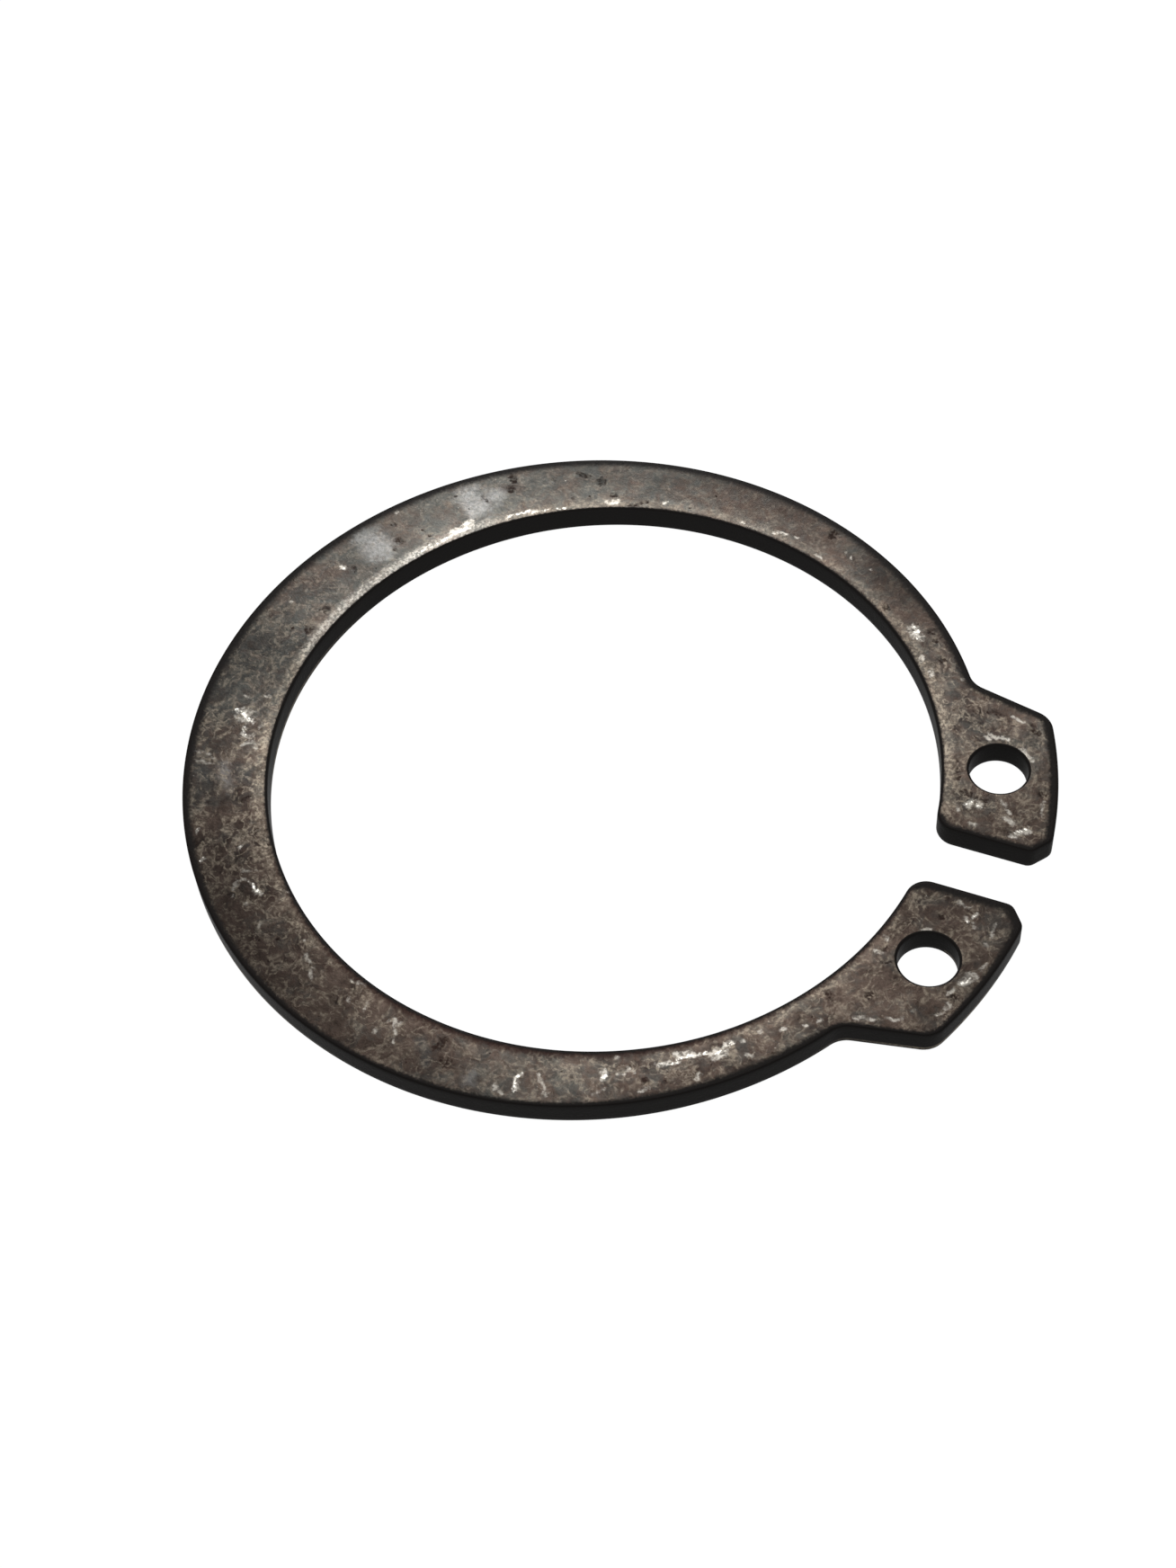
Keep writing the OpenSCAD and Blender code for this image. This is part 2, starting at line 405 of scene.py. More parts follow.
# Marks on the top face: angle round the ring in degrees, way in from the bore, length and width in
# millimetres, and turn from the ring's own direction in degrees. They are rubbed thin, pitted and
# filled with dirt, scuffed dull and pale, polished bright within the rubbed ones, or stained.
RUBBED = [
    # far side
    (137, 0.6, 1.3, 0.35, 6), (124, 0.35, 0.5, 0.25, 4), (109.5, 0.45, 0.6, 0.25, 10),
    (100, 0.5, 0.3, 0.1, 20), (85.5, 0.35, 0.45, 0.1, 15), (78.5, 0.55, 0.6, 0.12, 15),
    (75.5, 0.8, 0.3, 0.1, 10), (70, 0.45, 0.5, 0.1, 10), (67, 1.45, 0.1, 0.1, 0),
    (65.5, 1.35, 0.1, 0.15, 0), (61.5, 1.45, 0.1, 0.15, 0), (46.5, 0.85, 0.9, 0.4, 5),
    (41, 0.4, 0.4, 0.2, 0), (37.5, 0.55, 0.4, 0.2, 4), (34.5, 1.8, 0.2, 0.2, 45),
    (144.5, 3.1, 0.2, 0.2, 0), (157.5, 2.1, 0.4, 0.2, -75), (167.5, 2.7, 0.1, 0.15, 0),
    # back
    (-174, 0.9, 0.1, 0.15, 0), (-173, 1.9, 0.35, 0.1, 65), (-169.5, 1.5, 0.9, 0.5, 50),
    (-168.5, 1.8, 0.55, 0.15, 50), (-167.5, 0.65, 0.4, 0.15, -45), (-165.5, 1.2, 0.6, 0.2, 75),
    (-164, 1.15, 0.6, 0.2, -65), (-163.5, 0.7, 0.35, 0.15, -10), (-161.5, 2.85, 1.1, 0.1, 65),
    (-160, 2.9, 0.85, 0.1, 70), (-148, 3.1, 0.25, 0.1, -15), (-143.5, 1.4, 0.1, 0.2, 0),
    (-143, 3.1, 0.25, 0.15, -55), (-139, 1.35, 0.65, 0.1, 60), (-138, 1.8, 0.4, 0.15, 60),
    (-136.5, 1.5, 0.65, 0.1, 20), (-134.5, 1.35, 0.6, 0.15, 15), (-136.5, 2.2, 0.8, 0.1, -30),
    (-132.5, 0.15, 0.25, 0.2, 3), (-133.5, 1.9, 0.35, 0.1, 90), (-129, 1.9, 0.4, 0.1, -60),
    # near side
    (-122.5, 0.7, 0.1, 0.15, 50), (-119.5, 1.1, 0.65, 0.1, -7), (-117, 1.4, 0.55, 0.1, -35),
    (-110.5, 0.35, 0.7, 0.1, 20), (-109.5, 1.15, 0.1, 0.15, 0), (-107, 1, 0.4, 0.1, -75),
    (-101.5, 0.95, 0.6, 0.1, 20), (-100.5, 1.3, 1.3, 0.1, -57), (-103, 1.65, 0.1, 0.2, 10),
    (-83.5, 2.1, 0.2, 0.25, 3), (-82.5, 2.3, 0.45, 0.1, -30), (-80.5, 1.7, 0.8, 0.2, 85),
    (-77, 1.65, 1.2, 0.1, -60), (-66.5, 0.35, 0.2, 0.15, 0), (-68.5, 1.1, 0.4, 0.2, 80),
    (-66, 1.1, 0.35, 0.1, 0), (-64.5, 1.05, 0.3, 0.1, -30), (-69, 1.9, 0.8, 0.1, 30),
    (-63, 1.95, 0.4, 0.1, 20), (-60.5, 0.95, 0.3, 0.15, -35), (-59, 0.9, 0.45, 0.15, 25),
    (-56, 0.7, 1, 0.25, -7), (-51.5, 0.85, 0.65, 0.25, 8), (-51, 1.1, 0.75, 0.2, 15),
    (-49.5, 0.65, 0.3, 0.25, -5), (-47, 0.8, 0.3, 0.15, 10), (-47.5, 1.55, 0.35, 0.15, -35),
    (-55, 1.8, 0.4, 0.2, 60), (-41, 1.1, 0.3, 0.2, -20), (-44, 0.75, 0.25, 0.15, -10),
    (-38, 1.35, 0.25, 0.15, -10), (-36, 1.5, 0.3, 0.1, -20), (-30.5, 2.5, 1, 0.15, -42),
    # near lug
    (-27.5, 3.35, 0.75, 0.15, -43), (-25, 3.6, 0.1, 0.15, 0), (-21, 0.65, 0.3, 0.2, -35),
    (-18, 0.55, 0.2, 0.2, 85), (-9, 2.8, 0.15, 0.25, 80), (-8, 3.05, 0.3, 0.2, -55),
    (-9.5, 3.25, 0.35, 0.1, 45), (-9, 4.05, 0.75, 0.15, 15), (-7, 2.4, 0.7, 0.1, -85),
    (-11.5, 4.15, 0.3, 0.1, 50), (-14.5, 4.5, 0.5, 0.1, 0), (-16.5, 4.4, 0.55, 0.35, -70),
    (-17.5, 4.3, 0.55, 0.25, -40), (-20, 4.15, 0.35, 0.25, -25), (-22.5, 4.45, 0.9, 0.2, -8),
    (-13.5, 1.7, 0.5, 0.2, -40),
    # far lug
    (26, 3.55, 0.75, 0.15, 65), (23, 2.6, 0.95, 0.2, 65), (23, 2.05, 0.25, 0.25, 0),
    (20.5, 3.5, 0.55, 0.15, 60), (19.5, 3.8, 0.75, 0.15, 40), (10.5, 1.7, 0.2, 0.3, 65),
    (10.5, 1.25, 0.5, 0.25, -55), (9.5, 0.8, 0.4, 0.1, 20), (11.5, 2.75, 0.5, 0.15, 35),
    (10, 3, 0.45, 0.15, 20), (8.5, 3.05, 0.5, 0.2, 70), (7, 3.75, 0.7, 0.3, -60),
    (6, 3.35, 0.45, 0.25, -80), (7, 1.75, 0.3, 0.15, -40), (7, 1.5, 0.25, 0.15, 90),
    (11, 4.4, 0.8, 0.1, -4),
]
PITTED = [
    # far side
    (111.5, 1.7, 0.4, 0.35, -30), (114.5, 2.25, 0.5, 0.2, -35), (109.5, 0.9, 0.2, 0.25, 0),
    (119.5, 2.1, 0.1, 0.2, 0), (116.5, 0.85, 0.1, 0.15, 0), (131, 1.9, 0.55, 0.1, -85),
    (125.5, 2.65, 0.6, 0.25, 90), (126.5, 2.05, 0.6, 0.2, 70), (143, 1.4, 0.1, 0.15, 0),
    (142.5, 0.95, 0.1, 0.15, 0), (105, 0.3, 1, 0.12, 7), (71, 1.9, 0.3, 0.4, 4),
    (53.5, 0.5, 0.15, 0.2, 15), (45.5, 1.65, 0.35, 0.35, 15), (43, 1.45, 0.15, 0.25, 25),
    (39.5, 1.3, 0.3, 0.25, 20), (147.5, 1.55, 0.1, 0.3, 5), (149, 1.3, 0.1, 0.25, 20),
    (146, 2.6, 0.15, 0.2, 75), (156.5, 1.65, 0.25, 0.15, -80), (166, 1, 0.35, 0.35, -7),
    (171, 0.9, 0.45, 0.25, 8), (174.5, 0.6, 0.3, 0.2, 5),
    # back
    (-152.5, 1.05, 0.6, 0.1, -75), (-152.5, 2.6, 0.25, 0.1, -50), (-146, 0.7, 0.25, 0.3, 65),
    (-125.5, 1.65, 0.1, 0.2, 0),
    # near side
    (-93.5, 0.9, 0.8, 0.3, 87), (-91.5, 1.7, 0.45, 0.4, 6), (-70.5, 2.1, 0.15, 0.15, 0),
    (-62.5, 1.65, 0.35, 0.3, -35), (-59.5, 1.8, 0.15, 0.25, -25), (-32, 0.75, 0.3, 0.4, -47),
    (-27.5, 1.85, 0.35, 0.35, -70),
    # near lug
    (-20, 0.7, 0.3, 0.25, 0), (-21.5, 1.35, 0.25, 0.1, -40), (-10.5, 1.85, 0.3, 0.25, -70),
    (-20, 4.45, 0.1, 0.15, -70),
    # far lug
    (28, 2.05, 0.6, 0.15, -90), (27.5, 2.65, 0.65, 0.15, 75), (24, 4.2, 0.65, 0.2, 35),
    (19, 0.8, 0.15, 0.15, 0), (17, 0.75, 0.1, 0.15, 20), (15.5, 0.7, 0.25, 0.25, 80),
    (12.5, 1.15, 0.6, 0.15, 60), (11.5, 1.75, 0.5, 0.15, 80), (13.5, 4.35, 0.4, 0.35, 30),
]
SCUFFED = [
    # far side
    (133, 1.9, 2, 1.15, -78), (129.5, 1.9, 0.7, 0.85, -60), (151, 2.2, 2.15, 1.25, -90),
    # near side
    (-157.5, 1.9, 1.5, 0.25, 8), (-87, 2, 0.5, 0.2, 80),
]
POLISHED = [
    # back
    (-169.8, 1.75, 0.9, 0.13, 62), (-169.2, 1.45, 0.6, 0.12, 35), (-168.2, 1.2, 0.4, 0.07, 20),
    (-166.6, 1.35, 0.5, 0.06, 10), (-132.4, 0.12, 0.3, 0.1, 0), (-135.2, 1.35, 0.5, 0.02, 15),
    (-148, 3.1, 0.2, 0.05, -15), (-143.2, 3.1, 0.2, 0.03, -55), (-143.5, 1.4, 0.1, 0.04, 0),
    # near side
    (-80.6, 1.75, 0.85, 0.1, 82), (-58.6, 0.92, 0.8, 0.08, -8), (-56.4, 0.8, 0.7, 0.07, 0),
    (-54.2, 0.72, 0.9, 0.09, -2), (-51, 0.95, 0.8, 0.1, 6), (-49.6, 0.75, 0.4, 0.12, 0),
    (-66.6, 0.32, 0.14, 0.08, 0), (-68.4, 1.15, 0.25, 0.16, 80),
    # near lug
    (-9.3, 2.85, 0.14, 0.09, 80), (-8.3, 3, 0.16, 0.06, -55), (-17.5, 4.3, 0.5, 0.03, -40),
    # far lug
    (10.5, 1.3, 0.4, 0.03, -55), (10.3, 1.7, 0.3, 0.03, 60), (7.2, 3.6, 0.5, 0.04, -60),
    # far side
    (126.5, 0.36, 1.2, 0.1, 0), (122.3, 0.33, 0.9, 0.08, 0), (118.8, 0.3, 0.5, 0.06, 0),
    (145.5, 0.36, 1.2, 0.1, 0), (141, 0.36, 0.9, 0.1, 0), (137.4, 0.5, 0.6, 0.12, 4),
    (46.8, 0.95, 0.5, 0.08, 5), (45.8, 0.8, 0.5, 0.08, -10), (157.6, 2.05, 0.16, 0.12, 0),
]
STAINED_BROWN = [
    (-133, 0.8, 0.6, 0.5, 16), (-116.5, 0.75, 0.6, 0.5, 10), (29, 1.75, 0.75, 0.6, 44),
    (32.5, 1.5, 0.6, 0.4, 11),
]
STAINED_GREY = [
    (-158, 1.15, 1.2, 0.65, 23), (-158, 2.8, 1, 0.75, 40), (-95, 1.55, 1.45, 0.5, -52),
    (24, 0.4, 0.85, 0.4, 15),
]


def mark_field(places, s, marks, softness):
    """Nearness of each place to the marks: 0.5 on a mark's border, more inside it, less outside.

    A mark is a stroke with round ends, and its field is 0.5 + 0.5*(half its width - the distance
    from its middle line)/(half its width, or the softness where that is more), held between 0 and
    1. The marks' fields are joined by the larger.
    """
    field = np.zeros(len(places))
    for around, way_in, long, wide, turn in marks:
        middle = (s.bore_radius + way_in*MM)*toward(math.radians(around))
        heading = toward(math.radians(around + 90 + turn))
        half = max(long - wide, 0.0)*MM/2
        apart = places[:, :2] - middle
        along = np.clip(apart @ heading, -half, half)
        distance = np.linalg.norm(apart - along[:, None]*heading, axis=1)
        near = np.clip(0.5 + 0.5*(wide*MM/2 - distance)/max(wide*MM/2, softness), 0, 1)
        field = np.maximum(field, near)
    return field


def ripple(places, wave, seed, count=24):
    """Smooth noise from about -1 to 1: a sum of seeded cosine waves of one length."""
    draw = np.random.default_rng(seed)
    heading = draw.normal(size=(count, 3))
    heading /= np.linalg.norm(heading, axis=1)[:, None]
    phase = draw.uniform(0, 2*math.pi, count)
    waves = np.cos(places @ heading.T*(2*math.pi/wave) + phase)
    return np.clip(waves.sum(1)/math.sqrt(2*count), -1, 1)


def outside_distance(places, s):
    """Distance in the plan from each place to the nearest point of the ring's outer outline.

    The outline's samples on the bore are left out. The places are taken in chunks to save memory.
    """
    outer, lug, _ = half_outline(s)
    outline = np.concatenate([resample(outer, 500)[0], resample(lug, 300)[0]])
    outline = outline[np.hypot(*outline.T) > s.bore_radius + s.toe_radius/8]
    plan = np.stack([places[:, 0], np.abs(places[:, 1])], -1)
    chunks = np.array_split(plan, math.ceil(len(plan)/4000))
    return np.concatenate([
        np.sqrt(((part[:, None] - outline)**2).sum(-1).min(1)) for part in chunks])


# The patina round the ring: angle in degrees, its tone near the bore and near the outside, its
# warmth and its share of fine scratches from 0 to 1, and how lively its mottle is. The tone holds
# painted sheen and shade as well: lightest round 140 to 152 degrees, where the light behind would
# shine off the face, and darkest round -125 to -138 degrees.
PATINA_AND_SHEEN_COLUMNS = ("near_bore", "near_outside", "warmth", "scratched", "lively")
PATINA_AND_SHEEN = [
    (-180, 0.5, 0.4, 0.25, 0.5, 1.3), (-165, 1, 0.35, 0.45, 0.9, 1.5),
    (-150, 0.65, 0.4, 0.85, 0.8, 1.4), (-138, 0.65, 0.2, 1, 0.8, 1.3),
    (-125, 0.6, 0.2, 1, 0.7, 1.3), (-100, 0.95, 0.4, 0.95, 0.5, 1.2),
    (-90, 1.05, 0.4, 0.7, 0.4, 1.3), (-78, 0.95, 0.6, 0.5, 0.5, 1.3),
    (-65, 1.3, 0.6, 0.6, 0.6, 1.3), (-45, 1.35, 0.55, 0.75, 0.6, 1.4),
    (-30, 1, 0.55, 0.85, 0.5, 1.3), (-15, 0.65, 0.4, 1, 0.6, 1.2), (0, 0.6, 0.45, 0.85, 0.6, 1.2),
    (15, 0.65, 0.5, 0.75, 0.6, 1.3), (30, 0.9, 0.7, 0.6, 0.6, 1.4), (43, 0.5, 0.8, 0.6, 0.4, 1.2),
    (54, 0.85, 0.2, 0.6, 0.2, 1), (70, 1, 0.5, 0.6, 0.2, 0.8), (90, 1.1, 0.35, 0.55, 0.2, 0.7),
    (105, 1, 0.45, 0.4, 0.2, 0.8), (120, 1.05, 0.65, 0.25, 0.2, 0.8),
    (140, 1.5, 0.75, 0.2, 0.2, 0.8), (152, 1.4, 0.55, 0.25, 0.2, 0.7),
    (165, 0.95, 0.75, 0.35, 0.3, 0.8), (180, 0.5, 0.4, 0.25, 0.5, 1.3),
]
# The edges of the top face round the ring: angle in degrees, how bright the bore's rim is from 0 to
# 1, partly worn and partly a painted highlight, how far in from the bore it is painted black as
# shade and where that has faded, the same for the outer edge, in millimetres, and how strong the
# painted glint is, a pale line of reflected light along the foot of the bore's and the outer wall.
EDGE_COLUMNS = ("rim", "bore_black", "bore_fade", "outer_black", "outer_fade", "bore_glint",
                "outer_glint")
EDGES = [
    (-180, 0.5, 0.06, 0.24, 0.25, 0.65, 0.5, 0), (-165, 0.45, 0.06, 0.24, 0.25, 0.6, 0.7, 0),
    (-150, 0.4, 0.06, 0.26, 0.2, 0.52, 0, 0.3), (-140, 0.35, 0.08, 0.34, 0.2, 0.45, 0, 0.9),
    (-130, 0.2, 0.1, 0.42, 0.18, 0.4, 0, 0.9), (-118, 0.1, 0.12, 0.5, 0.14, 0.34, 0, 0.3),
    (-100, 0, 0.14, 0.6, 0.12, 0.3, 0, 0), (-85, 0, 0.14, 0.65, 0.1, 0.28, 0, 0),
    (-70, 0, 0.13, 0.6, 0.12, 0.3, 0, 0), (-50, 0.2, 0.12, 0.5, 0.2, 0.48, 0, 0),
    (-40, 0.3, 0.1, 0.4, 0.18, 0.46, 0, 0), (-30, 0.2, 0.1, 0.4, 0.1, 0.25, 0, 0.3),
    (-20, 0.1, 0.1, 0.35, 0.16, 0.34, 0, 0.8), (-9, 0.1, 0.1, 0.3, 0.2, 0.45, 0, 0),
    (-6.5, 0.1, 0.1, 0.3, 0.3, 0.65, 0, 0), (0, 0.1, 0.1, 0.3, 0.25, 0.6, 0, 0),
    (5.8, 0.2, 0.08, 0.25, 0.12, 0.35, 0, 0), (8, 0.3, 0.08, 0.25, 0.28, 0.48, 0, 0),
    (20, 0.5, 0.06, 0.24, 0.28, 0.52, 0, 0), (30, 0.5, 0.06, 0.24, 0.25, 0.55, 0, 0),
    (40, 0.45, 0.06, 0.24, 0.25, 0.6, 0, 0), (60, 0.2, 0.07, 0.28, 0.22, 0.62, 0, 0),
    (90, 0.25, 0.05, 0.24, 0.2, 0.6, 0, 0), (100, 0.25, 0.06, 0.24, 0.2, 0.6, 0, 0),
    (110, 0.5, 0.04, 0.2, 0.2, 0.6, 0, 0), (120, 0.38, 0.04, 0.2, 0.21, 0.64, 0, 0),
    (130, 0.6, 0.04, 0.2, 0.2, 0.62, 0, 0), (140, 0.95, 0.04, 0.2, 0.2, 0.66, 0, 0),
    (150, 0.95, 0.04, 0.2, 0.22, 0.68, 0, 0), (160, 0.85, 0.05, 0.22, 0.24, 0.7, 0, 0),
    (170, 0.8, 0.05, 0.22, 0.26, 0.7, 0.2, 0), (180, 0.5, 0.06, 0.24, 0.25, 0.65, 0.5, 0),
]


# How soft the borders of the marks are: polished, rubbed or pitted, stained, and scuffed.
CRISPEST, CRISP, DIM, SOFT = 0.09*MM, 0.12*MM, 0.3*MM, 0.5*MM
# Length of the waves in which the marks waver and the face swells, and their seeds.
WAVER_WAVE, WAVER_SEEDS = 0.8*MM, (11, 12)
SWELL_WAVE, SWELL_SEED = 7*MM, 3


def round_ring(places, columns, table):
    """A table's columns at the places' angles round the ring, eased straight from row to row."""
    around = np.degrees(np.arctan2(places[:, 1], places[:, 0]))
    angles, *values = np.array(table).T
    return {name: np.interp(around, angles, value) for name, value in zip(columns, values)}


def patina_and_sheen_level(near_bore, near_outside, from_bore, from_outside):
    """Tone of the patina, with its painted sheen and shade, across the face: outside + (bore -
    outside)*(1 - u)^2.

    u is the share of the way from the bore to the outer edge.
    """
    share = from_bore/(from_bore + from_outside + SAME_PLACE)
    return near_outside + (near_bore - near_outside)*(1 - share)**2


def sunk(field):
    """How deep the face is sunk under a field of marks: 0 up to 0.35 of it, and 1 from 0.85."""
    return np.clip(field*2 - 0.7, 0, 1)


def wear_fields(places, normals, s, waver):
    """Where the ring is worn and where light and shade are painted on it, as one number for each
    place and each kind.

    The marks' middle lines waver by waver*ripple to either side, and marks lie on the top alone.
    """
    aside = [ripple(places, WAVER_WAVE, seed) for seed in WAVER_SEEDS]
    wavering = places + waver*np.stack([*aside, np.zeros(len(places))], -1)
    field = {"rubbed": mark_field(wavering, s, RUBBED, CRISP),
             "polished": mark_field(wavering, s, POLISHED, CRISPEST),
             "pitted": mark_field(wavering, s, PITTED, CRISP),
             "scuffed": mark_field(places, s, SCUFFED, SOFT),
             "stained": (mark_field(places, s, STAINED_BROWN, DIM)
                         - mark_field(places, s, STAINED_GREY, DIM))}
    field = {name: values*np.clip(normals[:, 2], 0, 1) for name, values in field.items()}

    from_outside = outside_distance(places, s)
    from_bore = np.abs(np.hypot(*places[:, :2].T) - s.bore_radius)
    field.update(round_ring(places, PATINA_AND_SHEEN_COLUMNS, PATINA_AND_SHEEN))
    field.update(round_ring(places, EDGE_COLUMNS, EDGES))
    field["patina"] = patina_and_sheen_level(field.pop("near_bore"), field.pop("near_outside"), from_bore,
                                   from_outside)
    field["glint"] = np.where(from_bore < from_outside, field.pop("bore_glint"),
                              field.pop("outer_glint"))
    field["inside"], field["outside"] = from_bore/MM, from_outside/MM
    field["wall"] = 1 - np.abs(normals[:, 2])
    return field


def wear_down(mesh, s, finish):
    """Keeps the ring's wear and painted light and shade as attributes of its mesh, and sinks the
    marks into the mesh.
    """
    places, normals = np.empty((2, 3*len(mesh.vertices)))
    mesh.vertices.foreach_get("co", places)
    mesh.vertices.foreach_get("normal", normals)
    places, normals = places.reshape(-1, 3), normals.reshape(-1, 3)
    field = wear_fields(places, normals, s, finish.waver)
    for name, values in field.items():
        kept = mesh.attributes.new(name, "FLOAT", "POINT")
        kept.data.foreach_set("value", values.astype(np.float32))
    swell = 0.5 + 0.5*ripple(places, SWELL_WAVE, SWELL_SEED)
    depth = (finish.swell*swell + finish.pit_depth*sunk(field["pitted"])
             + finish.scuff_depth*sunk(field["rubbed"]))
    places = np.clip(places - depth[:, None]*normals, *NODE_BOX)
    mesh.vertices.foreach_set("co", places.astype(np.float32).ravel())
    mesh.update()


class Value:
    """A number, colour or place that a tree's nodes work out. Arithmetic on it adds Math nodes."""

    def __init__(self, tree, socket):
        self.tree, self.socket = tree, socket

    def __add__(self, other):
        return calc("ADD", self, other)

    def __sub__(self, other):
        return calc("SUBTRACT", self, other)

    def __rsub__(self, other):
        return calc("SUBTRACT", other, self)

    def __mul__(self, other):
        return calc("MULTIPLY", self, other)


def put(tree, kind, feeds, **options):
    """Adds a node, sets its options, and links or sets the inputs named in feeds."""
    made = tree.nodes.new(kind)
    for name, value in options.items():
        setattr(made, name, value)
    for name, value in feeds.items():
        if isinstance(value, Value):
            tree.links.new(value.socket, made.inputs[name])
        else:
            made.inputs[name].default_value = value
    return made


def result(kind, feeds, out=0, **options):
    """One output of a new node, which is put in the tree of the values that feed it."""
    tree = next(value.tree for value in feeds.values() if isinstance(value, Value))
    return Value(tree, put(tree, kind, feeds, **options).outputs[out])


def calc(operation, first, second=0.0, clamp=False):
    """Result of a Math node."""
    return result("ShaderNodeMath", {0: first, 1: second}, operation=operation, use_clamp=clamp)


def larger(first, second):
    """The larger of two numbers."""
    return calc("MAXIMUM", first, second)


def spread(value, low, high, to_low=0.0, to_high=1.0, smooth=True):
    """A value mapped from low..high to to_low..to_high, and held there outside them."""
    return result("ShaderNodeMapRange",
                  {"Value": value, "From Min": low, "From Max": high, "To Min": to_low,
                   "To Max": to_high},
                  interpolation_type="SMOOTHSTEP" if smooth else "LINEAR")


def blend(share, first, second, mode="MIX"):
    """Colour mixed from the first to the second by a share."""
    return result("ShaderNodeMix", {0: share, 6: first, 7: second}, 2, data_type="RGBA",
                  blend_type=mode)


def mix_value(share, first, second):
    """Number mixed from the first to the second by a share."""
    return result("ShaderNodeMix", {0: share, 2: first, 3: second}, data_type="FLOAT")


def noise(place, scale, detail=2.0, rough=0.5, out="Fac"):
    """Value or colour of a Noise node."""
    return result("ShaderNodeTexNoise",
                  {"Vector": place, "Scale": scale, "Detail": detail, "Roughness": rough}, out)


def vector(operation, *values, out=0):
    """Result of a Vector Math node."""
    return result("ShaderNodeVectorMath", dict(enumerate(values)), out, operation=operation)


def new_group(name, output, **inputs):
    """Empty shader node group with one output, and the values of its inputs by name.

    An input without a default is a place, and the others are numbers.
    """
    group = bpy.data.node_groups.new(name, "ShaderNodeTree")
    for label, default in inputs.items():
        kind = "NodeSocketVector" if default is None else "NodeSocketFloat"
        socket = group.interface.new_socket(label, in_out="INPUT", socket_type=kind)
        if default is not None:
            socket.default_value = default
    group.interface.new_socket(output, in_out="OUTPUT", socket_type="NodeSocketFloat")
    given = group.nodes.new("NodeGroupInput").outputs
    return [Value(group, given[label]) for label in inputs]


def close_group(value):
    """Leads a value out of its group, and gives the group."""
    put(value.tree, "NodeGroupOutput", {0: value})
    return value.tree


def mottle_group():
    """Patches within patches: two noises, the finer one weaker, stretched about their middle."""
    place, scale, contrast = new_group("mottle", "Value", Place=None, Scale=1.0, Contrast=1.0)
    both = noise(place, scale, 4.0, 0.6)*0.65 + noise(place, scale*4.3)*0.35
    return close_group(calc("ADD", (both - 0.5)*contrast, 0.5, clamp=True))


def ragged_group():
    """Crisp ragged mask of a field, which noise shifts where there is any before it is cut."""
    field, place, scale, ragged, softness = new_group(
        "ragged", "Mask", Field=0.0, Place=None, Scale=1.0, Ragged=0.2, Softness=0.1)
    shifted = field + (noise(place, scale, 3.0, 0.6) - 0.5)*ragged
    return close_group(spread(shifted, 0.5 - softness, softness + 0.5)*spread(field, 0.0, 0.2))


def specks_group():
    """Round specks: a share of the cells of a cell pattern, each with a dot at its middle."""
    place, scale, share, size = new_group(
        "specks", "Mask", Place=None, Scale=1.0, Share=0.1, Size=0.3)
    colour_of, distance = (result("ShaderNodeTexVoronoi", {"Vector": place, "Scale": scale}, out)
                           for out in ("Color", "Distance"))
    luck = result("ShaderNodeSeparateColor", {0: colour_of})
    size = size*spread(luck, 0.0, share, 1.0, 0.4)
    dot = spread(distance, size, size*0.5)
    return close_group(dot*calc("LESS_THAN", luck, share))


def veins_group():
    """Fine veins: the places where a noise passes its middle value, broken up by another noise."""
    place, scale, thin, share = new_group(
        "veins", "Mask", Place=None, Scale=1.0, Thin=0.05, Share=0.5)
    line = spread(calc("ABSOLUTE", noise(place, scale, 3.0) - 0.5), thin, 0.0)
    low = 0.66 - share*0.32
    return close_group(line*spread(noise(place, scale*0.7, 3.0, 0.7), low, low + 0.14))


def from_group(group, **feeds):
    """Output of a node group, placed in the tree of its feeds."""
    return result("ShaderNodeGroup", feeds, node_tree=group)


def new_material(name):
    """Material with only its output node, and its node tree."""
    material = bpy.data.materials.new(name)
    material.use_nodes = True
    material.node_tree.nodes.clear()
    return material, material.node_tree


def show(tree, **feeds):
    """Ends a tree with the one shader that every material here has."""
    named = {name.replace("_", " "): value for name, value in feeds.items()}
    shader = put(tree, "ShaderNodeBsdfPrincipled", named)
    put(tree, "ShaderNodeOutputMaterial", {"Surface": Value(tree, shader.outputs[0])})


def millimetres(tree):
    """Object coordinates in millimetres."""
    source = put(tree, "ShaderNodeTexCoord", {}).outputs["Object"]
    return result("ShaderNodeMapping", {"Vector": Value(tree, source), "Scale": (1/MM,)*3})


def pushed(place, scale, reach):
    """Place shifted by a noise, which bends what is drawn on it: place + reach*noise."""
    return vector("MULTIPLY_ADD", noise(place, scale, out="Color"), (reach,)*3, place)


def drawn_out(place, along, across):
    """Place for a pattern that is drawn out round the ring and up its walls.

    It is along*(direction from the axis) in the plan, and across*(distance from it) in height.
    """
    flat = vector("MULTIPLY", place, (1, 1, 0))
    reach = vector("LENGTH", flat, out="Value")*across
    rise = result("ShaderNodeCombineXYZ", {2: reach})
    return vector("MULTIPLY_ADD", vector("NORMALIZE", flat), (along,)*3, rise)


# Low and high of most of a noise's values.
MOST = (0.3, 0.7)
# Height of the bump's relief.
RELIEF = 0.011*MM
# Height of the painted glint, a pale line of reflected light along the foot of the walls, and
# where off it the line has faded and where it is full, in millimetres.
FOOT_HEIGHT, FOOT_FADE = 0.20, (0.10, 0.02)


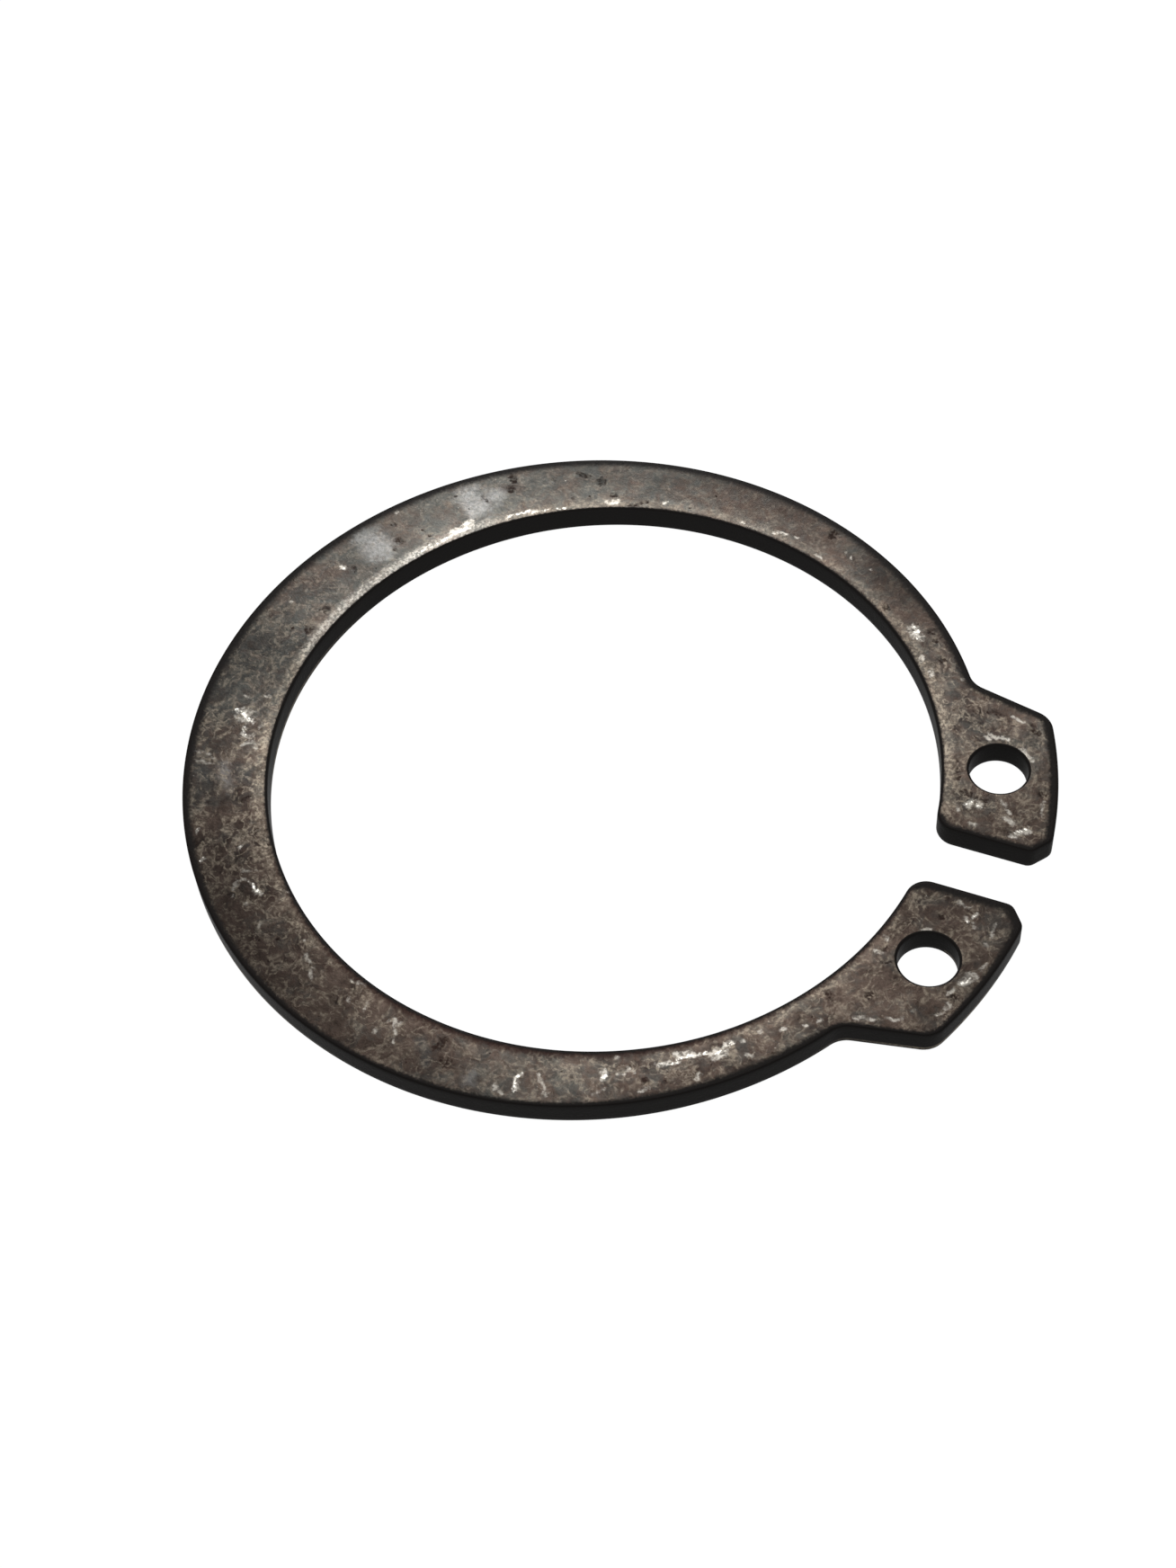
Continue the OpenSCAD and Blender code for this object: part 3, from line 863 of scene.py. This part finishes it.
def steel_material(finish, groups):
    """Patinated spring steel: mottled faces with painted sheen and shade, rubbed and pitted marks,
    worn rims with a painted highlight, edges painted black as shade, walls darkened by painted
    shade, and a painted glint at the walls' foot.
    """
    mottle, ragged, specks, veins = groups
    material, tree = new_material("worn_spring_steel")

    def rgb(name):
        """A colour of the finish."""
        return (*getattr(finish, name), 1.0)

    def field(name):
        """One of the mesh's attributes."""
        return Value(tree, put(tree, "ShaderNodeAttribute", {}, attribute_name=name).outputs["Fac"])

    def torn(where, at, scale, amount, softness):
        """Ragged mask of a field."""
        return from_group(ragged, Field=where, Place=at, Scale=scale, Ragged=amount,
                          Softness=softness)

    place = millimetres(tree)
    bent = pushed(place, scale=0.9, reach=1.2)
    patches = from_group(mottle, Place=bent, Scale=0.36, Contrast=3.8)
    clouds = from_group(mottle, Place=bent, Scale=1.4, Contrast=3.2)
    drift = from_group(mottle, Place=bent, Scale=0.75, Contrast=4.0)
    streaks = spread(noise(drawn_out(bent, along=14.0, across=2.4), 1.0, 4.0, 0.65), *MOST)
    grain = spread(noise(pushed(place, scale=3.0, reach=0.3), 6.0, 3.0, 0.6), *MOST, smooth=False)
    fine = spread(noise(place, 7.0, 3.0, 0.6), 0.42, 0.60)

    tone = patches*0.46 + clouds*0.24 + streaks*0.14 + grain*0.16
    tone = calc("ADD", (tone - 0.5)*field("lively"), 0.5, clamp=True)
    warmth = calc("ADD", field("warmth"), drift - 0.5, clamp=True)
    skin = blend(warmth, blend(tone, rgb("dark_cool"), rgb("light_cool")),
                 blend(tone, rgb("dark_warm"), rgb("light_warm")))
    dust = spread(noise(place, 11.0, 3.0, 0.7), *MOST, 0.84, 1.16, smooth=False)
    skin = blend(1.0, skin, dust, "MULTIPLY")

    stain = field("stained")
    for name, where, share in (("grey", stain*-1.0, 0.5), ("brown", stain, 0.6)):
        skin = blend(torn(where, place, 3.0, 0.9, 0.35)*share, skin, rgb(name))
    scuff = torn(field("scuffed"), bent, 2.0, 0.9, 0.4)
    skin = blend(scuff*mix_value(grain, 0.35, 0.80), skin, rgb("pale"))

    wisps = from_group(veins, Place=drawn_out(bent, along=22.0, across=2.0), Scale=1.0, Thin=0.11,
                       Share=0.7)
    webs = from_group(veins, Place=pushed(place, scale=1.1, reach=1.6), Scale=1.2, Thin=0.06,
                      Share=0.8)
    hair = larger(wisps, webs)*field("scratched")*mix_value(fine, 0.20, 0.70)
    skin = blend(hair, skin, rgb("straw"))

    lines = from_group(veins, Place=pushed(place, scale=2.0, reach=0.6), Scale=2.6, Thin=0.16,
                       Share=1.2)
    rub = torn(field("rubbed"), place, 5.0, 1.6, 0.30)
    flecks = from_group(specks, Place=place, Scale=3.1, Share=0.06, Size=0.13)
    bare = larger(rub*mix_value(larger(lines, fine*0.4), 0.04, 0.70), flecks*0.5)
    skin = blend(bare, skin, rgb("steel"))

    pit = torn(field("pitted"), bent, 5.0, 2.2, 0.3)
    pores = from_group(specks, Place=pushed(place, scale=2.0, reach=0.4), Scale=2.3, Share=0.2,
                       Size=0.17)
    hollow = larger(pit*mix_value(fine, 0.70, 0.15), pores*0.6)
    # The patina's tone multiplies the colour; it holds painted sheen and shade too.
    skin = blend(1.0, blend(hollow, skin, rgb("dirt")), field("patina"), "MULTIPLY")
    polish = torn(field("polished"), place, 6.0, 1.9, 0.35)
    skin = blend(polish*mix_value(fine, 0.12, 1.0), skin, rgb("bright"))

    shift = (grain - 0.5)*0.10
    inside, outside, rim = field("inside") + shift, field("outside") + shift, field("rim")
    # The bore's rim: partly worn bare and partly a painted highlight where the rolled edge tilts
    # towards the camera, brightest on the far side.
    worn = spread(inside, 0.78, 0.36)*mix_value(fine, 0.22, 0.80)*rim*mix_value(clouds, 0.20, 1.0)
    skin = blend(worn, skin, blend(spread(rim, 0.45, 0.8), rgb("straw"), rgb("steel")))
    # Painted shade: black along the bore's edge, from edge black at the edge to the dirt colour
    # further in.
    inner_shade = spread(inside, field("bore_fade"), field("bore_black"))
    skin = blend(inner_shade, skin, blend(spread(inside, 0.10, 0.30), rgb("edge"), rgb("dirt")))
    # Painted shade: black along the outer edge.
    outer_black = spread(outside, field("outer_fade"), field("outer_black"))
    skin = blend(outer_black, skin, rgb("edge"))

    # Painted shade: the rolled edges take the edge black, and the walls the stamped-wall dark.
    turned = field("wall")
    roll, wall = spread(turned, 0.003, 0.03), spread(turned, 0.2, 0.8)
    skin = blend(wall, blend(roll, skin, rgb("edge")), rgb("wall"))
    # A painted glint: a pale line of reflected light along the foot of some walls.
    height = result("ShaderNodeSeparateXYZ", {0: place}, 2)
    foot_glint = spread(calc("ABSOLUTE", height - FOOT_HEIGHT), *FOOT_FADE)*wall*field("glint")
    skin = blend(foot_glint*mix_value(fine, 0.5, 1.0), skin, rgb("straw"))

    # Where the edges are painted black as shade, the steel has no metal and a roughness of 0.40.
    black = larger(larger(inner_shade, outer_black), roll)
    metal = (1.0 - black)*mix_value(bare, 0.55, 0.6)*(1.0 - hollow)
    gloss = mix_value(black, mix_value(hollow, mix_value(clouds, 0.36, 0.50), 0.85), 0.40)
    relief = grain*0.30 + clouds*0.45 + fine*0.2 - hollow
    bump = result("ShaderNodeBump", {"Height": relief, "Distance": RELIEF, "Strength": 1.0})
    show(tree, Base_Color=skin, Roughness=gloss, Metallic=metal, Normal=bump,
         Specular_IOR_Level=0.009)
    return material


def floor_material(stage, mottle):
    """Pale matt floor, lit from within as on a light table, with a barely seen mottle."""
    material, tree = new_material("pale_floor")
    cloudy = from_group(mottle, Place=millimetres(tree), Scale=0.02, Contrast=1.0)
    show(tree, Base_Color=blend(cloudy, (0.02, 0.02, 0.02, 1.0), (0.03, 0.03, 0.03, 1.0)),
         Roughness=0.9, Specular_IOR_Level=0.0, Emission_Color=(*stage.floor, 1.0),
         Emission_Strength=1.0)
    return material


def node_group(name, build):
    """The shader node group of that name, built the first time that it is asked for."""
    return bpy.data.node_groups.get(name) or build()


def add_object(name, data):
    """Object at the origin, unturned and unscaled, in the scene's own collection."""
    made = bpy.data.objects.new(name, data)
    bpy.context.scene.collection.objects.link(made)
    return made


class RING_OT_ring(bpy.types.Operator):
    """Build the worn ring in place of its plain solid"""

    bl_idname = "ring.build_ring"
    bl_label = "Build ring"

    def execute(self, context):
        sizes, finish = context.scene.ring_sizes, context.scene.ring_finish
        mesh = closed_mesh("worn_retaining_ring", sizes)
        wear_down(mesh, sizes, finish)
        groups = (node_group("mottle", mottle_group), node_group("ragged", ragged_group),
                  node_group("specks", specks_group), node_group("veins", veins_group))
        mesh.materials.append(steel_material(finish, groups))
        piece = add_object("worn_retaining_ring", mesh)
        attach(piece, BODY)
        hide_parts(NODE)
        return {"FINISHED"}


def soft_light(name, place, size, watts, beam):
    """Area light at a place, turned to aim at the origin."""
    lamp = bpy.data.lights.new(name, "AREA")
    lamp.shape = "RECTANGLE"
    lamp.size, lamp.size_y = size
    lamp.energy = watts
    lamp.spread = beam
    made = add_object(name, lamp)
    made.location = place
    made.rotation_euler = (-Vector(place)).to_track_quat("-Z", "Y").to_euler()


def sphere_point(azimuth, elevation, distance):
    """Point at a distance from the origin, in the direction of an azimuth and an elevation."""
    flat = math.cos(elevation)
    return Vector((flat*math.cos(azimuth), flat*math.sin(azimuth), math.sin(elevation)))*distance


# Gap between the floor and the ring, and the nearest and the furthest that the camera sees.
FLOOR_DROP = 0.01*MM
CLIP = (0.005, 20.0)


class RING_OT_stage(bpy.types.Operator):
    """Build the pale floor, the soft lights and the camera"""

    bl_idname = "ring.build_stage"
    bl_label = "Build stage"

    def execute(self, context):
        scene, stage = context.scene, context.scene.ring_stage
        half = stage.floor_size/2
        mesh = bpy.data.meshes.new("floor")
        corners = [(x, y, -FLOOR_DROP) for x, y in ((-half, -half), (half, -half), (half, half),
                                                    (-half, half))]
        mesh.from_pydata(corners, [], [(0, 1, 2, 3)])
        mesh.materials.append(floor_material(stage, node_group("mottle", mottle_group)))
        add_object("floor", mesh)

        world = bpy.data.worlds.new("pale_surroundings")
        world.use_nodes = True
        sky = world.node_tree.nodes["Background"].inputs
        sky["Color"].default_value = (1.0, 1.0, 1.0, 1.0)
        sky["Strength"].default_value = stage.world
        scene.world = world

        soft_light("top_light", (0, 0, stage.top_height), (stage.top_side,)*2, stage.top_light,
                   stage.beam)
        behind = sphere_point(stage.back_azimuth, stage.back_elevation, stage.back_distance)
        soft_light("back_light", behind, (stage.back_width, stage.back_height), stage.back_light,
                   stage.beam)

        lens = bpy.data.cameras.new("camera")
        lens.lens = stage.lens
        lens.clip_start, lens.clip_end = CLIP
        camera = add_object("camera", lens)
        aim = Vector(stage.aim)
        camera.location = aim + sphere_point(stage.azimuth, stage.elevation, stage.distance)
        turn = (aim - camera.location).to_track_quat("-Z", "Y").to_matrix()
        camera.rotation_euler = (turn @ Matrix.Rotation(stage.roll, 3, "Z")).to_euler()
        scene.camera = camera
        scene.view_settings.view_transform = "Standard"
        scene.view_settings.look = "None"
        return {"FINISHED"}


class RING_PT_panel(bpy.types.Panel):
    """Sizes, finish and stage of the ring, and the steps that build them"""

    bl_idname = "RING_PT_panel"
    bl_label = "Retaining ring"
    bl_space_type = "VIEW_3D"
    bl_region_type = "UI"
    bl_category = "Ring"

    def draw(self, context):
        scene = context.scene
        for operator, group in ((RING_OT_ring, scene.ring_sizes), (None, scene.ring_finish),
                                (RING_OT_stage, scene.ring_stage)):
            box = self.layout.box()
            if operator:
                box.operator(operator.bl_idname)
            for name in group.__annotations__:
                box.prop(group, name)


CLASSES = (RingSizes, RingFinish, RingStage, RING_OT_ring, RING_OT_stage, RING_PT_panel)


def register():
    """Registers the classes and hangs their settings on the scene."""
    for item in CLASSES:
        bpy.utils.register_class(item)
    bpy.types.Scene.ring_sizes = PointerProperty(type=RingSizes)
    bpy.types.Scene.ring_finish = PointerProperty(type=RingFinish)
    bpy.types.Scene.ring_stage = PointerProperty(type=RingStage)


def unregister():
    """Takes the settings off the scene and unregisters the classes."""
    del bpy.types.Scene.ring_stage
    del bpy.types.Scene.ring_finish
    del bpy.types.Scene.ring_sizes
    for item in reversed(CLASSES):
        bpy.utils.unregister_class(item)


def main():
    """Builds the ring and its stage."""
    register()
    bpy.ops.ring.build_ring()
    bpy.ops.ring.build_stage()


if __name__ == "__main__":
    main()
